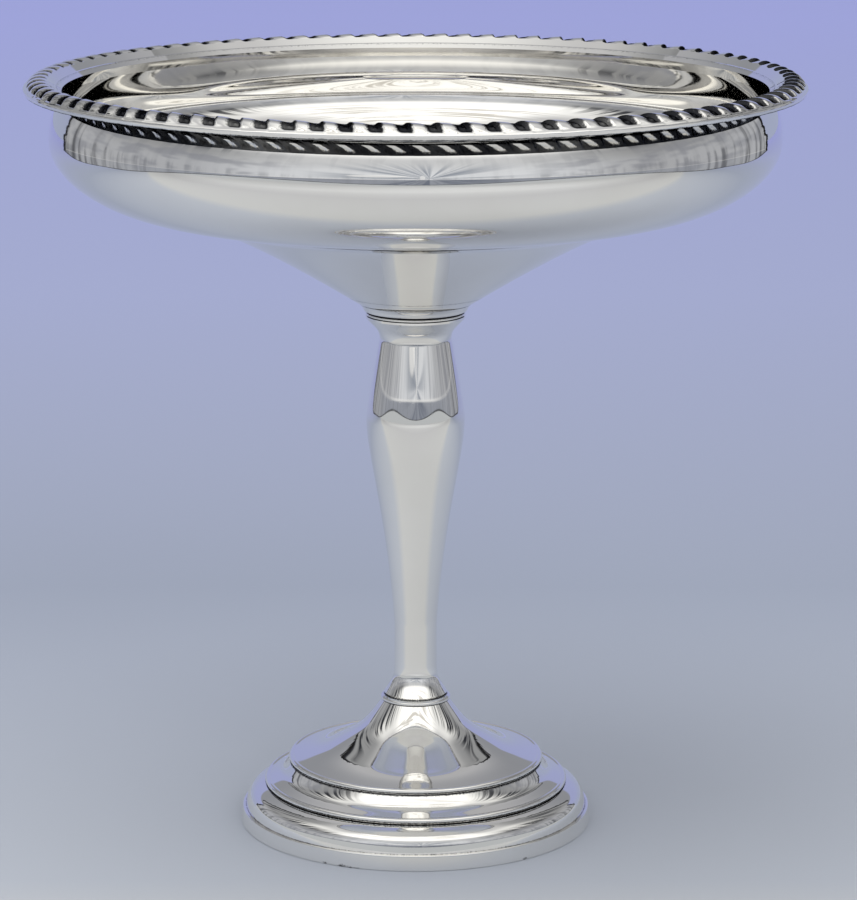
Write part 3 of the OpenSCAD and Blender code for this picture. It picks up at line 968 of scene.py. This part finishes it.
def tent():
    """A tent of white cloth round the part, seen only by shiny things. It is no lamp but glows,
    and its glow paints the lamps' light on the cloth, the shade in its folds and a dark line of
    shade along the hem. It is open at the back and ends above the table in a scalloped hem."""
    bpy.ops.mesh.primitive_uv_sphere_add(segments=2 * TENT_RINGS, ring_count=TENT_RINGS,
                                         radius=TENT_R, location=(0, 0, TENT_Z))
    dome = bpy.context.object
    dome.name = "tent"
    mat = bpy.data.materials.new("tent")
    mat.cycles.emission_sampling = "NONE"
    web = Web(mat)
    way = web.node("VectorMath", operation="NORMALIZE")
    up, side, off = compass(web, web.fill(way, web.place()))
    edge = opening_edge(web, up, off)
    hem = hem_height(web, up, side, off)
    trim = web.times(web.ease(edge, *TRIM_EDGE), web.ease(up, *TRIM_UP))
    cloth = web.mix(trim, gathered_cloth(web, up, side, off), TRIM)
    cloth = web.mix(web.ease(hem, *HEM_LINE_EDGE), cloth, HEM_LINE)
    opening = web.times(web.ease(edge, *OPEN_EDGE), web.ease(up, *OPEN_UP))
    gone = web.most(opening, web.ease(hem, *HEM_EDGE))
    glow = web.fill(web.node("Emission"), cloth)
    clear = web.node("BsdfTransparent").outputs[0]
    web.show(web.fill(web.node("MixShader"), gone, glow, clear))
    dome.data.materials.append(mat)
    for kind in ("camera", "diffuse", "transmission", "volume_scatter", "shadow"):
        setattr(dome, "visible_" + kind, False)


# World, lamps and camera

TABLE = rgb(0.50, 0.52, 0.54)
SWEEP = (rgb(0.36, 0.40, 0.55), rgb(0.35, 0.38, 0.62))
WALL = (rgb(0.27, 0.28, 0.31), rgb(0.52, 0.52, 0.54))
SWEEP_UP = (0, 16)
WALL_UP = (24, 60)
SWEEP_END_UP = (20.5, 21.5)
BACK_OFF = (135, 140)
MATT_LIGHT = grey(0.82)

PHOTO_W = 857            # pixels
FOCAL = 3746             # pixels
MIDDLE_SHIFT = 12.9      # pixels
SENSOR_W = 36
CAMERA_AT = (0, -0.788, 0.2569)
CAMERA_DOWN = 12.49      # degrees


def world():
    """Plain light for matt things, and for shiny ones what shows outside the tent: the
    pale table under its hem, and the sweep and the wall through the opening behind."""
    made = bpy.data.worlds.new("studio")
    bpy.context.scene.world = made
    web = Web(made)
    up, _, off = compass(web, web.place("Generated"))
    sweep = web.mix(web.ease(up, *SWEEP_UP), *SWEEP)
    wall = web.mix(web.ease(up, *WALL_UP), *WALL)
    back = web.mix(web.ease(up, *SWEEP_END_UP), sweep, wall)
    shiny = web.mix(web.ease(off, *BACK_OFF), TABLE, back)
    rays = web.node("LightPath").outputs
    flat = web.mix(rays["Is Camera Ray"], MATT_LIGHT, FAR_COLOUR)
    colour = web.mix(rays["Is Glossy Ray"], flat, shiny)
    web.show(web.fill(web.node("Background"), colour), "OutputWorld")


def lamp(name, place, size, watts):
    """A square lamp that points at the part's foot and isn't mirrored."""
    data = bpy.data.lights.new(name, "AREA")
    data.shape = "SQUARE"
    data.size = size
    data.energy = watts
    obj = bpy.data.objects.new(name, data)
    bpy.context.scene.collection.objects.link(obj)
    obj.location = place
    obj.rotation_euler = (-obj.location).to_track_quat("-Z", "Y").to_euler()
    obj.visible_glossy = False


def camera():
    """The photo's camera, solved from the rings of the rim, steps and foot."""
    data = bpy.data.cameras.new("camera")
    data.sensor_fit = "HORIZONTAL"
    data.sensor_width = SENSOR_W
    data.lens = SENSOR_W * FOCAL / PHOTO_W
    data.shift_x = MIDDLE_SHIFT / PHOTO_W
    data.clip_start = 0.01
    data.clip_end = 50
    obj = bpy.data.objects.new("camera", data)
    bpy.context.scene.collection.objects.link(obj)
    obj.location = CAMERA_AT
    obj.rotation_euler = (math.radians(90 - CAMERA_DOWN), 0, 0)
    bpy.context.scene.camera = obj


# Assembly

def silver_pieces():
    """The pieces of polished silver, by the node that each of them replaces."""
    pieces = {
        "foot_band": turned("band", band_profile()),
        "foot_shell": turned("foot", foot_profile(), foot_painted_shade()),
        "stem_ring": turned("bead_ring", ring_profile(), RING_PAINTED_SHADE),
        "stem_shell": turned("stem", stem_profile()),
        "bowl_collar": turned("collar", collar_profile(), COLLAR_SHADE_AND_TARNISH),
        "bowl_shell": turned("bowl", bowl_profile(), BOWL_SHADE_AND_TARNISH),
        "gadroon_border": gadroon_border("gadroons"),
    }
    nicked(pieces["foot_band"], FOOT_R, NICKS)
    return pieces


def main():
    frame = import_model()

    polished = silver("polished_silver")
    for node, piece in silver_pieces().items():
        piece.data.materials.append(polished)
        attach(piece, "root")
        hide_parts(node)

    cement = matt("cement", CEMENT, scale=260, rough=0.9)
    steel = matt("rod_steel", STEEL, scale=400, rough=0.4, metallic=1.0)
    felt = matt("felt", FELT, scale=1500, rough=0.95)
    kept = {"foot_filler": cement, "stem_filler": cement, "stem_rod": steel, "base_felt": felt}
    for node, mat in kept.items():
        mesh = frame["nodes"][node].data
        mesh.materials.clear()
        mesh.materials.append(mat)

    floor()
    tent()
    world()
    lamp("top", place=(-0.3, -0.2, 1.6), size=1.2, watts=9)
    lamp("front", place=(0.5, -1.4, 1.0), size=0.9, watts=4)
    camera()
    bpy.context.scene.view_settings.view_transform = "Standard"


main()
